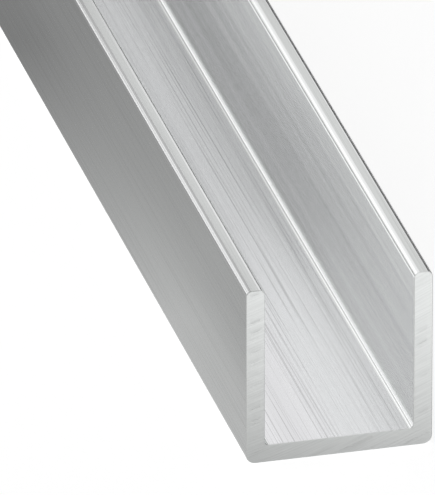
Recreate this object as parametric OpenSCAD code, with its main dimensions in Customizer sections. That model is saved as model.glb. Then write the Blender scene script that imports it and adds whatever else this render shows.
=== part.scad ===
// U channel: a bar of extruded aluminium, two flanges standing on a web.
// The bar lies along Y on the underside of its web, with its open side up.
// The origin is the middle of that underside. All sizes are in millimetres.

/* [Bar] */
// Length of the bar between its two sawn ends
bar_length = 1000; // [100:10:3000]

/* [Section] */
// Width over the outer faces of the two flanges
channel_width = 20; // [12:0.5:60]
// Height from the underside of the web to the tips of the flanges
channel_height = 20; // [8:0.5:60]
// Thickness of the web
web_thickness = 2; // [1:0.1:4]
// Thickness of each flange
flange_thickness = 2; // [1.5:0.1:4]

/* [Edges] */
// Radius of the two outer corners, where the web turns up into the flanges
heel_radius = 1; // [0.3:0.1:2]
// Radius of the fillets in the two inner corners
root_radius = 0.5; // [0.2:0.1:3]
// Radius of the edges along the tip of each flange
tip_radius = 0.6; // [0.2:0.05:0.7]

/* [Hidden] */
// Sides of a full circle where the round edges are drawn as polygons
$fn = 96;
// How far a cut runs past the corner that it rounds, so that it cuts clean
overrun = 1;
// Places along the width
outer_face = channel_width / 2;
inner_face = outer_face - flange_thickness;

// What lies between a square corner and its rounding, with the corner at the origin and
// its sides along +X and +Y. A cut also takes in what is past the corner.
module corner_spandrel(radius, past = 0) {
    difference() {
        translate([-past, -past]) square(radius + past);
        translate([radius, radius]) circle(radius);
    }
}

// A shape of the right-hand half of the section, shown on both sides
module both_sides() {
    children();
    mirror([1, 0]) children();
}

// The square-cornered U of the section: a block on the X axis, with the slot cut out past its top
module plain_section() {
    difference() {
        translate([-outer_face, 0]) square([channel_width, channel_height]);
        translate([-inner_face, web_thickness]) square([2 * inner_face, channel_height]);
    }
}

// The waste outside the right heel
module heel_cut() {
    translate([outer_face, 0]) mirror([1, 0]) corner_spandrel(heel_radius, overrun);
}

// The waste at the outer and inner edges of the right flange's tip
module tip_cuts() {
    translate([outer_face, channel_height]) rotate(180) corner_spandrel(tip_radius, overrun);
    translate([inner_face, channel_height]) mirror([0, 1]) corner_spandrel(tip_radius, overrun);
}

// The metal that fills the right inner corner
module root_fillet() {
    translate([inner_face, web_thickness]) mirror([1, 0]) corner_spandrel(root_radius);
}

// The extruded section, with its heels and tips rounded and its roots filled
module section() {
    difference() {
        union() {
            plain_section();
            both_sides() root_fillet();
        }
        both_sides() {
            heel_cut();
            tip_cuts();
        }
    }
}

// The bar, sawn square at both ends
module u_channel() {
    color("silver")
        rotate([90, 0, 0])
            linear_extrude(height = bar_length, center = true)
                section();
}

u_channel();
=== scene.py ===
# %% [markdown]
# # A bar of aluminium U channel
# The part is one piece of stock: aluminium pressed through a die, so that the same U section runs
# the whole length, and sawn off square at both ends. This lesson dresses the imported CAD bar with
# the things that the eye reads as real metal: rounded edges that catch the light, die lines along
# the bar, saw marks across its ends, and a studio that the metal can mirror.

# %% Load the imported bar
import math
import random
from collections import Counter

import bpy
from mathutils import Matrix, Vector
from mathutils.geometry import delaunay_2d_cdt


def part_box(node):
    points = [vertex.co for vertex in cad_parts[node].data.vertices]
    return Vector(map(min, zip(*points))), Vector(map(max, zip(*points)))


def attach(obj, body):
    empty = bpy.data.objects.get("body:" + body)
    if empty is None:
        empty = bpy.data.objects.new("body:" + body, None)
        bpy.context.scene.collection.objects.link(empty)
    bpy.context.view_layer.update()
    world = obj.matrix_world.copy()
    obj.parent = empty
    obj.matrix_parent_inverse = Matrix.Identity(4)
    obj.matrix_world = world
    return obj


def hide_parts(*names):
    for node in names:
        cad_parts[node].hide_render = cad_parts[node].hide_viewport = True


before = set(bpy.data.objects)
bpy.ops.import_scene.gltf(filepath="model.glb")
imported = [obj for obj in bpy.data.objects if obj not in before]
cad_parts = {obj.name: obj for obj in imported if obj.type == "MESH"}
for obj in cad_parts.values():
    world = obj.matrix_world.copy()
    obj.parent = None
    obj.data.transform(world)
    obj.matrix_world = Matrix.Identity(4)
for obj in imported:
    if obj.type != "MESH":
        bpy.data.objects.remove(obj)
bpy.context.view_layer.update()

MM = 0.001
low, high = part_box("u_channel")
width, length, height = (high - low) / MM
print(f"packed bar: {width:.1f} x {length:.1f} x {height:.1f} mm")

# %% [markdown]
# ## The section
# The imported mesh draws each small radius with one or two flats, which is enough for a collision
# model but shows as a crease in a close picture. So the same section is drawn again with fine
# arcs. A list of the eight square corners, each with its radius, is the plainest way: one function
# rounds any right-angled corner, whether it turns out or in.

# %% Square corners of the U, anticlockwise from the left heel
wall = 2.0
heel_radius, root_radius, tip_radius = 1.0, 0.5, 0.6
outer, inner = width / 2, width / 2 - wall

corners = [
    (-outer, 0, heel_radius), (outer, 0, heel_radius),
    (outer, height, tip_radius), (inner, height, tip_radius),
    (inner, wall, root_radius), (-inner, wall, root_radius),
    (-inner, height, tip_radius), (-outer, height, tip_radius),
]
arc_steps = 12


def rounded(corner, before, after, radius):
    """Points of the arc that rounds a square corner between two neighbouring corners."""
    into, out_of = (corner - before).normalized(), (after - corner).normalized()
    centre = corner + (out_of - into) * radius
    turns = [math.pi / 2 * i / arc_steps for i in range(arc_steps + 1)]
    return [centre + (into * math.sin(t) - out_of * math.cos(t)) * radius for t in turns]


points = [Vector(c[:2]) for c in corners]
arcs = [
    rounded(p, points[i - 1], points[(i + 1) % len(points)], corners[i][2])
    for i, p in enumerate(points)
]
print(f"section: {len(arcs)} arcs of {arc_steps} steps")

# %% [markdown]
# ## Die lines
# Every nick in the edge of the die draws a line along the whole bar, a few thousandths of a
# millimetre deep. They could be painted, but lines that are part of the shape bend the light as
# the real ones do. Each flat of the section gets shallow V grooves at random places, from a seeded
# random row, so that every run makes the same bar. A pixel of the picture covers a tenth of a
# millimetre, so the grooves are drawn wider than real ones, as wide as they need to show.

# %% Draw the outline with its die lines
die_line_gap = (0.25, 1.4)      # mm between two lines
die_line_width = (0.10, 0.30)   # mm
die_line_depth = (0.0005, 0.002)  # mm
right_root = 4                  # its place in the corners; the channel's floor starts there
SKIN, SAWN, WEB, EDGE = range(4)  # the finishes, in the order of the bar's materials
chance = random.Random(20)


def flat_with_die_lines(start, end):
    """Points along one flat, with a V groove wherever the die was nicked."""
    along = (end - start).normalized()
    inward = Vector((-along.y, along.x))
    run, place, found = (end - start).length, 0.0, []
    while True:
        place += chance.uniform(*die_line_gap)
        across = chance.uniform(*die_line_width)
        deep = chance.uniform(*die_line_depth)
        if place + across > run:
            return found
        found += [
            start + along * place,
            start + along * (place + across / 2) + inward * deep,
            start + along * (place + across),
        ]
        place += across


outline, kinds_along = [], []
for i, arc in enumerate(arcs):
    flat = flat_with_die_lines(arc[-1], arcs[(i + 1) % len(arcs)][0])
    outline += arc + flat
    flat_finish = WEB if i == right_root else SKIN
    kinds_along += [EDGE] * (len(arc) - 1) + [flat_finish] * (len(flat) + 1)
print(f"outline: {len(outline)} points")

# %% [markdown]
# ## Sawn ends
# A saw leaves a burr round the cut, and a stroke of a file takes it off. A bevel modifier could
# round every edge of the end, but it would also cut into the die lines. So the outline is moved
# into the metal by the width of the chamfer, and that smaller loop is the edge of the end face.

# %% The edge of an end face
chamfer = 0.06                  # mm


def inset(loop, by):
    """The loop moved into the metal by a small amount."""
    moved = []
    for i, p in enumerate(loop):
        along = (loop[(i + 1) % len(loop)] - loop[i - 1]).normalized()
        moved.append(p + Vector((-along.y, along.x)) * by)
    return moved


rim_loop = inset(outline, chamfer)
print(f"end face: {len(rim_loop)} points round it, {chamfer} mm inside the outline")

# %% [markdown]
# ## Saw marks
# A circular saw leaves arcs across the cut, one for each tooth that bit a little deeper. Bump in a
# material could show them, but a groove in the mesh is part of the shape itself. The blade is far
# larger than the bar, so the arcs are nearly straight and all lean the same way. Real marks are
# finer than a pixel, so these are drawn coarser, as wide as they need to show.

# %% Arcs that the teeth cut
blade_radius = 190.0            # mm
mark_slope = math.radians(20)   # lean of the marks at the middle of the web
mark_gap = (0.15, 1.6)          # mm between two marks
mark_width = (0.06, 0.12)       # mm
mark_depth = (0.003, 0.016)     # mm
mark_step = 0.25                # mm between points along a mark
edge_margin = 0.08              # mm that a mark stays off the chamfer
half_turn = 0.25                # radians of an arc either side of its middle, past the bar's edges
shortest_mark = 5               # points; a shorter one is left out


def inside_section(p, margin):
    """True where a point of the end face lies in the metal, at least margin from its edges."""
    if not (margin < p.y < height - margin and abs(p.x) < outer - margin):
        return False
    return p.y < wall - margin or abs(p.x) > inner + margin


def saw_marks(chance):
    """Runs of (point, across, depth) for each stretch of a mark that crosses metal."""
    hub = Vector((-blade_radius * math.sin(mark_slope), blade_radius * math.cos(mark_slope)))
    reach = [(p - hub).length for p in outline]
    radius, runs = min(reach), []
    margin = chamfer + edge_margin + mark_width[1] / 2
    while radius < max(reach):
        radius += chance.uniform(*mark_gap)
        wide, deep = chance.uniform(*mark_width), chance.uniform(*mark_depth)
        step = mark_step / radius
        run, turn = [], -half_turn
        while turn < half_turn:
            angle = -math.pi / 2 + mark_slope + turn
            ray = Vector((math.cos(angle), math.sin(angle)))
            p = hub + ray * radius
            if inside_section(p, margin):
                run.append((p, ray * wide / 2, deep))
            elif run:
                runs.append(run)
                run = []
            turn += step
        radius += wide
    return [r for r in runs if len(r) >= shortest_mark]


marks = {side: saw_marks(random.Random(seed)) for side, seed in ((-1, 7), (1, 8))}
print(f"saw marks: {len(marks[-1])} on the near end, {len(marks[1])} on the far end")

# %% [markdown]
# ## Closing an end
# The marks are part of the end face, so no edge may cross another and no gap may be left. A grid
# of faces can't follow arcs. So each mark is three lines, two shoulders and a floor, and a
# Delaunay triangulation joins all the lines to the outline.

# %% Triangulate the end faces
taper = 4                       # a mark fades in and out over a quarter of its length
same_point = 1e-5               # mm; points nearer than this are joined


def end_face(loop, runs):
    """Points (x, z, depth), triangles and source points of an end face with its saw marks."""
    flat = list(loop)
    depth = [0.0] * len(loop)
    lines = [(i, (i + 1) % len(loop)) for i in range(len(loop))]
    for run in runs:
        last = len(run) - 1
        for side in (-1, 0, 1):
            first = len(flat)
            for i, (p, across, deep) in enumerate(run):
                fade = min(1.0, taper * i / last, taper * (last - i) / last)
                if side and i in (0, last):
                    continue
                flat.append(p + across * side * fade)
                depth.append(0.0 if side else deep * fade)
            lines += [(k, k + 1) for k in range(first, len(flat) - 1)]
    made = delaunay_2d_cdt(flat, lines, [], 1, same_point)
    places, triangles, sources = made[0], made[2], made[3]
    deep = [depth[s[0]] if s else 0.0 for s in sources]
    return [(p.x, p.y, d) for p, d in zip(places, deep)], triangles, sources


ends = {side: end_face(rim_loop, runs) for side, runs in marks.items()}
print(f"end faces: {len(ends[-1][1])} and {len(ends[1][1])} triangles")

# %% [markdown]
# ## The bar's mesh
# On the real bar, skin and ends are one solid. A curve with a bevel could give the skin, but not
# ends that share its points. So the outline becomes a ring of points at each end, long faces join
# the rings, and the end faces close them.

# %% Points and faces
verts, faces, kinds = [], [], []
count = len(outline)


def ring(loop, y):
    """Adds a loop of points at one place along the bar and returns its vertex numbers."""
    first = len(verts)
    verts.extend((p.x * MM, y * MM, p.y * MM) for p in loop)
    return list(range(first, first + len(loop)))


def band(back, front, finish):
    """Joins two loops with faces that look out of the metal."""
    for i in range(count):
        j = (i + 1) % count
        faces.append((back[i], back[j], front[j], front[i]))
    kinds.extend(finish)


walls = {}
for side, (places, triangles, sources) in ends.items():
    end = side * length / 2
    walls[side] = ring(outline, end - side * chamfer)
    rim = ring(rim_loop, end)
    band(*(walls[side], rim)[::-side], [SAWN] * count)
    number = {}
    for i, (x, z, deep) in enumerate(places):
        if sources[i] and sources[i][0] < count:
            number[i] = rim[sources[i][0]]
        else:
            number[i] = len(verts)
            verts.append((x * MM, (end - side * deep) * MM, z * MM))
    faces.extend([number[i] for i in t][::-side] for t in triangles)
    kinds.extend([SAWN] * len(triangles))
band(walls[1], walls[-1], kinds_along)
print(f"bar: {len(verts)} points, {len(faces)} faces")

# %% [markdown]
# ## The bar as an object
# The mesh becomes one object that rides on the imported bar's body and stands for it. The skin is
# shaded smooth, so that its arcs read as round, and the sawn ends stay flat. An edge sharper than
# the crease angle stays crisp. A closed solid has two faces at every edge, which is worth a count.

# %% Make the bar
crease = math.radians(30)
mesh = bpy.data.meshes.new("u_channel_bar")
mesh.from_pydata(verts, [], faces)
mesh.update()
bar = bpy.data.objects.new("u_channel_bar", mesh)
bpy.context.scene.collection.objects.link(bar)
mesh.polygons.foreach_set("material_index", kinds)
mesh.polygons.foreach_set("use_smooth", [k != SAWN for k in kinds])
mesh.set_sharp_from_angle(angle=crease)
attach(bar, "root")
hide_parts("u_channel")

uses = Counter(edge for polygon in mesh.polygons for edge in polygon.edge_keys)
print(f"{bar.name}: {len(uses)} edges, {sum(n != 2 for n in uses.values())} of them open")

# %% [markdown]
# ## Tools for materials
# Colours are written as they look on a screen, in hex, and turned to the linear values that
# Blender works in. Blender's own nodes could be wired by hand in its editor, but one function that
# adds a node with its settings and links lets each material read as a list.

# %% Colour and node helpers
def linear(hex_colour):
    """An sRGB hex colour as linear RGBA."""
    parts = [int(hex_colour[i:i + 2], 16) / 255 for i in (1, 3, 5)]
    return (*[c / 12.92 if c <= 0.04045 else ((c + 0.055) / 1.055) ** 2.4 for c in parts], 1)


def node(tree, kind, inputs=(), **settings):
    """Adds a node, sets its properties, then links or sets its inputs."""
    made = tree.nodes.new("ShaderNode" + kind)
    for name, value in settings.items():
        setattr(made, name, value)
    for name, value in dict(inputs).items():
        if isinstance(value, bpy.types.NodeSocket):
            tree.links.new(value, made.inputs[name])
        else:
            made.inputs[name].default_value = value
    return made


def material(name):
    """A new material and its node tree, still empty."""
    made = bpy.data.materials.new(name)
    made.use_nodes = True
    made.node_tree.nodes.clear()
    return made, made.node_tree


print(f"mid grey #808080 is {linear('#808080')[0]:.3f} in linear light")

# %% [markdown]
# ## Mill finish
# Nobody polishes such a bar: its skin is what the die left. Each face is drawn by its own stretch
# of the die's edge, so the floor of the channel comes out smoother than the flanges, and both carry
# fine streaks along the bar. The floor is also painted brighter than the flanges, as painted light
# that it catches from above. A picture of brushed metal could be wrapped round the bar, but noise
# that is squeezed across the bar and drawn out along it gives such streaks on every face at once.

# %% Noise drawn out along the bar
# Real streaks are a few hundredths of a millimetre wide, too fine for the picture's pixels, so
# they are drawn as coarse as they need to show.
streak_width, streak_length = 0.12, 40      # mm
band_width, band_length = 0.9, 150          # mm


def drawn_noise(tree, wide, long):
    """Noise whose grains are so many mm wide and long, drawn out along the bar."""
    place = node(tree, "TexCoord")
    grains = (1 / (wide * MM), 1 / (long * MM), 1 / (wide * MM))
    drawn = node(tree, "VectorMath", {0: place.outputs["Object"], 1: grains}, operation="MULTIPLY")
    noise = node(tree, "TexNoise", {"Vector": drawn.outputs[0], "Scale": 1.0, "Detail": 2.0})
    return noise.outputs[0]


print(f"streaks: {streak_width} x {streak_length} mm, bands: {band_width} x {band_length} mm")

# %% [markdown]
# ## Extruded metal
# Streaks darken the metal a little and tilt its surface, and broad bands change its colour and its
# gloss. The three extruded finishes differ only in how smooth and how streaky the die left them,
# and
# in how bright they are painted: the paler floor and corners carry painted light. So one function
# makes them all, and the metal keeps Blender's own IOR.

# %% Extruded finishes
streak_noise = (0.32, 0.46)     # noise that makes a full streak, and noise that makes none
usual_noise = (0.3, 0.7)        # between these lies nearly all of the noise
band_share = 1 / 7              # strength of the bands, as a share of the streaks'
gloss_change = 0.03             # of the roughness, either way


def extruded(name, colour, roughness, dark, deep):
    """Metal drawn through a die: dark is how far streaks dim it, deep is their depth in mm."""
    made, tree = material(name)
    fine = drawn_noise(tree, streak_width, streak_length)
    broad = drawn_noise(tree, band_width, band_length)
    lines = node(tree, "MapRange", {
        "Value": fine, "From Min": streak_noise[0], "From Max": streak_noise[1],
        "To Min": 1 - dark, "To Max": 1,
    })
    bands = node(tree, "MapRange", {
        "Value": broad, "From Min": usual_noise[0], "From Max": usual_noise[1],
        "To Min": 1 - dark * band_share, "To Max": 1 + dark * band_share,
    })
    gloss = node(tree, "MapRange", {
        "Value": broad, "From Min": usual_noise[0], "From Max": usual_noise[1],
        "To Min": roughness - gloss_change, "To Max": roughness + gloss_change,
    })
    level = node(tree, "Math", {0: lines.outputs[0], 1: bands.outputs[0]}, operation="MULTIPLY")
    tint = node(tree, "VectorMath", {
        0: linear(colour)[:3], "Scale": level.outputs[0],
    }, operation="SCALE")
    bump = node(tree, "Bump", {"Height": fine, "Distance": deep * MM})
    metal = node(tree, "BsdfPrincipled", {
        "Base Color": tint.outputs[0], "Metallic": 1.0, "Roughness": gloss.outputs[0],
        "Normal": bump.outputs[0],
    })
    node(tree, "OutputMaterial", {"Surface": metal.outputs[0]})
    print(f"{name}: {colour}, roughness {roughness}")
    return made


# Flanges, dragged through the die: a satin grey, painted darker than the floor as painted shade,
# with faint streaks and soft mirror images.
skin = extruded("mill_finish_extruded_aluminium", "#DBDDDC", 0.24, dark=0.13, deep=0.001)
# Floor, drawn over the die's core: smoother, so its streaks stand out, and painted paler than the
# flanges, as painted light from above.
web = extruded("aluminium_channel_floor_painted_lighter", "#E8E8EA", 0.17, dark=0.27, deep=0.0015)
# Corners, pressed hardest by the die: burnished smoother, and painted paler than the flanges as a
# painted highlight, so they flash like thin bright wires.
edge = extruded("burnished_aluminium_corners_painted_highlight", "#EFF0F0", 0.16, dark=0.05, deep=0.0005)

# %% [markdown]
# ## Saw cut
# The teeth leave many more marks than the deep ones in the mesh. Stripes from a wave texture would
# be too even. The distance from the saw's hub is the same all along one mark, so noise that
# follows that distance draws the fine ones. They too are drawn coarser than real, to show at all.

# %% Sawn faces
# Torn by the teeth and never rubbed: to the eye a pale, matt grey with fine slanting lines.
sawn_colour, sawn_roughness = "#E6E8E7", 0.4
fine_mark_width, fine_mark_length = 0.14, 5     # mm
fine_mark_depth = 0.002                         # mm
fine_mark_shade = 0.06                          # of the colour, either way

sawn, tree = material("saw_cut_aluminium")
place = node(tree, "TexCoord")
hub = (-blade_radius * math.sin(mark_slope) * MM, 0, blade_radius * math.cos(mark_slope) * MM)
arm = node(tree, "VectorMath", {0: place.outputs["Object"], 1: hub}, operation="SUBTRACT")
arm = node(tree, "VectorMath", {0: arm.outputs[0], 1: (1, 0, 1)}, operation="MULTIPLY")
reach = node(tree, "VectorMath", {0: arm.outputs[0]}, operation="LENGTH")
side = node(tree, "SeparateXYZ", {0: arm.outputs[0]})
tooth = node(tree, "Math", {
    0: reach.outputs["Value"], 1: 1 / (fine_mark_width * MM),
}, operation="MULTIPLY")
sweep = node(tree, "Math", {
    0: side.outputs["X"], 1: 1 / (fine_mark_length * MM),
}, operation="MULTIPLY")
grain = node(tree, "CombineXYZ", {"X": tooth.outputs[0], "Y": sweep.outputs[0]})
cuts = node(tree, "TexNoise", {"Vector": grain.outputs[0], "Scale": 1.0, "Detail": 2.0})
level = node(tree, "MapRange", {
    "Value": cuts.outputs[0], "From Min": usual_noise[0], "From Max": usual_noise[1],
    "To Min": 1 - fine_mark_shade, "To Max": 1 + fine_mark_shade,
})
tint = node(tree, "VectorMath", {
    0: linear(sawn_colour)[:3], "Scale": level.outputs[0],
}, operation="SCALE")
bump = node(tree, "Bump", {"Height": cuts.outputs[0], "Distance": fine_mark_depth * MM})
metal = node(tree, "BsdfPrincipled", {
    "Base Color": tint.outputs[0], "Metallic": 1.0, "Roughness": sawn_roughness,
    "Normal": bump.outputs[0],
})
node(tree, "OutputMaterial", {"Surface": metal.outputs[0]})

for finish in (skin, sawn, web, edge):
    mesh.materials.append(finish)
print("finishes:", ", ".join(m.name for m in mesh.materials))

# %% [markdown]
# ## The floor
# Metal has hardly a colour of its own: it shows the room. So the studio is a set of things for the
# bar to mirror, and the first is the white paper that it lies on. Stronger lamps could make the
# paper white, but they would bleach the metal too. So the paper glows for rays that see it
# straight, in a mirror or through glass, and it is plain matt paper for all other light, which
# keeps the shadow.

# %% White paper floor
paper_colour = "#D9D9D9"
paper_glow = 0.78               # strength; the room's light adds the rest of the white
paper_size = 6                  # m
paper_drop = 0.05               # mm below the bar, so that the two don't flicker

front_end = Vector((0, -length / 2, 0))         # mm; the studio is set out from this end
bpy.ops.mesh.primitive_plane_add(size=paper_size, location=(0, 0, -paper_drop * MM))
floor = bpy.context.object
floor.name = "floor"
paper, tree = material("matt_white_paper")
rays = node(tree, "LightPath")
seen = node(tree, "Math", {
    0: rays.outputs["Is Camera Ray"], 1: rays.outputs["Is Glossy Ray"],
}, operation="MAXIMUM")
seen = node(tree, "Math", {
    0: seen.outputs[0], 1: rays.outputs["Is Transmission Ray"],
}, operation="MAXIMUM")
glow = node(tree, "Math", {0: seen.outputs[0], 1: paper_glow}, operation="MULTIPLY")
matt = node(tree, "BsdfDiffuse", {"Color": linear(paper_colour)})
lift = node(tree, "Emission", {"Color": (1, 1, 1, 1), "Strength": glow.outputs[0]})
both = node(tree, "AddShader", {0: matt.outputs[0], 1: lift.outputs[0]})
node(tree, "OutputMaterial", {"Surface": both.outputs[0]})
floor.data.materials.append(paper)
print(f"floor: {paper_size} m of {paper.name}")

# %% [markdown]
# ## The room
# Round the paper is a dim room, a little lighter on the left and overhead, as beside a window. A
# picture of a studio could surround the bar, but two ramps are enough, and their levels stay
# plain.

# %% A dim room, lighter above and on the left
left_light = 0.35               # at the far left, none from the middle on
low_light, high_light = 0.05, 0.33  # at the horizon and overhead

world = bpy.data.worlds.new("dim_room")
bpy.context.scene.world = world
world.use_nodes = True
tree = world.node_tree
tree.nodes.clear()
way = node(tree, "TexCoord")
parts = node(tree, "SeparateXYZ", {0: way.outputs["Generated"]})
left = node(tree, "MapRange", {
    "Value": parts.outputs["X"], "From Min": -1, "From Max": 0,
    "To Min": left_light, "To Max": 0,
})
above = node(tree, "MapRange", {
    "Value": parts.outputs["Z"], "From Min": 0, "From Max": 1,
    "To Min": low_light, "To Max": high_light,
})
level = node(tree, "Math", {0: left.outputs[0], 1: above.outputs[0]}, operation="ADD")
sky = node(tree, "Background", {"Color": (1, 1, 1, 1), "Strength": level.outputs[0]})
node(tree, "OutputWorld", {"Surface": sky.outputs[0]})
print(f"{world.name}: {low_light} to {high_light} upwards, {left_light} more on the left")

# %% [markdown]
# ## Grey cards
# Seen from above, the bar's sides mirror the floor, and white paper would make them white. A
# photographer lays grey cards beside such a bar, and so does this studio. Each card fades along
# the bar, which gives the flanges their slow change from light to dark. Only mirrors see the
# cards.

# %% Grey cards beside the bar
card_drop = 0.02                # mm below the bar, just over the paper


def card(name, x, y, start, end, near, far):
    """A card over x and y, in mm from the near end, that glows from near at start to far at end."""
    bpy.ops.mesh.primitive_plane_add(size=1)
    made = bpy.context.object
    made.name = name
    made.scale = ((x[1] - x[0]) * MM, (y[1] - y[0]) * MM, 1)
    made.location = (front_end + Vector((sum(x) / 2, sum(y) / 2, -card_drop))) * MM
    grey, tree = material(name)
    place = node(tree, "NewGeometry")
    start, end = [(front_end + Vector((*p, 0))) * MM for p in (start, end)]
    from_start = node(tree, "VectorMath", {
        0: place.outputs["Position"], 1: start,
    }, operation="SUBTRACT")
    share = node(tree, "VectorMath", {
        0: from_start.outputs[0], 1: (end - start) / (end - start).length_squared,
    }, operation="DOT_PRODUCT")
    level = node(tree, "MapRange", {
        "Value": share.outputs["Value"], "To Min": near, "To Max": far,
    })
    glow = node(tree, "Emission", {"Color": (1, 1, 1, 1), "Strength": level.outputs[0]})
    node(tree, "OutputMaterial", {"Surface": glow.outputs[0]})
    made.data.materials.append(grey)
    made.visible_camera = made.visible_diffuse = made.visible_shadow = False
    print(f"{name}: {near} to {far}")


beside = 16                     # mm from the bar's middle, where the first left card ends
away = 150                      # mm, the cards' reach
card("grey_card_left", (-beside, -outer), (0, length), (0, 35), (0, 105), 0.60, 0.26)
card("grey_card_further_left", (-away, -beside), (0, length), (0, 50), (0, 110), 0.44, 0.32)
card("dark_card_right", (outer, away), (0, length), (0, 30), (0, 105), 0.22, 0.14)
card("pale_card_in_front", (-away, away), (-away, 0), (-8, 0), (24, -46), 0.58, 1.25)

# %% [markdown]
# ## A white strip in the channel
# A bright line runs along the right root, where the fillet mirrors the pale left flange. The
# flange can't be lit that brightly without the rest, so a strip of white card stands against its
# inner face. It is white on one side only and clear from behind, and the camera doesn't see it,
# only mirrors do.

# %% White strip inside the channel
strip_low, strip_high = 3.0, 12.0   # mm above the paper
strip_gap = 0.1                     # mm off the flange
strip_short = 1                     # mm that it stops short of either end
strip_glow = 1.2

strip_x, strip_back, strip_far = -inner + strip_gap, strip_short, length - strip_short
strip_corners = [
    (strip_back, strip_low), (strip_far, strip_low),
    (strip_far, strip_high), (strip_back, strip_high),
]
strip_mesh = bpy.data.meshes.new("white_strip_in_channel")
strip_mesh.from_pydata(
    [(front_end + Vector((strip_x, y, z))) * MM for y, z in strip_corners], [], [(0, 1, 2, 3)],
)
strip = bpy.data.objects.new("white_strip_in_channel", strip_mesh)
bpy.context.scene.collection.objects.link(strip)
white, tree = material("white_strip_in_channel")
place = node(tree, "NewGeometry")
front = node(tree, "Emission", {"Color": (1, 1, 1, 1), "Strength": strip_glow})
back = node(tree, "BsdfTransparent")
sheet = node(tree, "MixShader", {
    0: place.outputs["Backfacing"], 1: front.outputs[0], 2: back.outputs[0],
})
node(tree, "OutputMaterial", {"Surface": sheet.outputs[0]})
strip_mesh.materials.append(white)
strip.visible_camera = strip.visible_diffuse = strip.visible_shadow = False
print(f"{strip.name}: {strip_high - strip_low:.0f} mm high, strength {strip_glow}")

# %% [markdown]
# ## Lamps
# Each lamp is a soft box for one part of the bar to mirror. Two upright ones behind the near end
# light the first hand's breadth of the channel, two long ones overhead light the tips and the
# floor of the channel, and two far off behind draw the white lines on the tips' left edges. A
# metal shows how bright a lamp's face is, not its power, so the face's brightness is given and the
# power follows.

# %% Soft boxes
FACE_TO_POWER = 4               # watts for a square metre of lamp whose face has brightness 1


def softbox(name, place, size, target, brightness):
    """A lamp at a place in mm from the near end, turned to a target, that only mirrors see."""
    data = bpy.data.lights.new(name, "AREA")
    data.shape = "RECTANGLE"
    data.size, data.size_y = size[0] * MM, size[1] * MM
    data.energy = brightness * FACE_TO_POWER * data.size * data.size_y
    made = bpy.data.objects.new(name, data)
    bpy.context.scene.collection.objects.link(made)
    made.location = (front_end + Vector(place)) * MM
    aim = (front_end + Vector(target)) * MM - made.location
    made.rotation_euler = aim.to_track_quat("-Z", "Y").to_euler()
    made.visible_camera = made.visible_diffuse = False
    print(f"{name}: {size[0]} x {size[1]} mm, {data.energy:.4f} W")


softbox("upright_left", (-100, 150, 91), (200, 66), (-100, 0, 91), 0.26)
softbox("upright_right", (30, 150, 91), (60, 66), (30, 0, 91), 0.20)
softbox("panel_over_tips", (8, 450, 30), (28, 1100), (8, 450, 0), 0.39)
softbox("lamp_over_channel", (0, 450, 24), (5, 1100), (0, 450, 0), 0.24)
softbox("rim_high", (-345, 869, 350), (180, 220), (0, 0, 10), 0.36)
softbox("rim_low", (-500, 866, 125), (210, 250), (0, 0, 10), 0.6)

# %% [markdown]
# ## The camera
# The edges of the bar hardly draw together in the picture, so it was taken from far off with a
# long lens. The angles and the aim were fitted to the bar's straight edges. The Standard view
# keeps each colour as it was written, where a film-like view would grey the white paper.

# %% Camera
azimuth, elevation = math.radians(14.367), math.radians(26.197)
aim = Vector((-9.91, -length / 2 + 12.32, 19.26)) * MM
distance = 2.0                  # m from the aim
lens = 1397.9                   # mm
sight = 100                     # m; nothing further off is drawn

look = Vector((
    math.sin(azimuth) * math.cos(elevation),
    math.cos(azimuth) * math.cos(elevation),
    -math.sin(elevation),
))
camera = bpy.data.objects.new("camera", bpy.data.cameras.new("camera"))
bpy.context.scene.collection.objects.link(camera)
camera.data.lens = lens
camera.data.clip_end = sight
camera.location = aim - look * distance
camera.rotation_euler = look.to_track_quat("-Z", "Y").to_euler()
bpy.context.scene.camera = camera
bpy.context.scene.view_settings.view_transform = "Standard"
print(f"camera: {distance} m off, {math.degrees(camera.data.angle):.2f} degrees on its longer side")
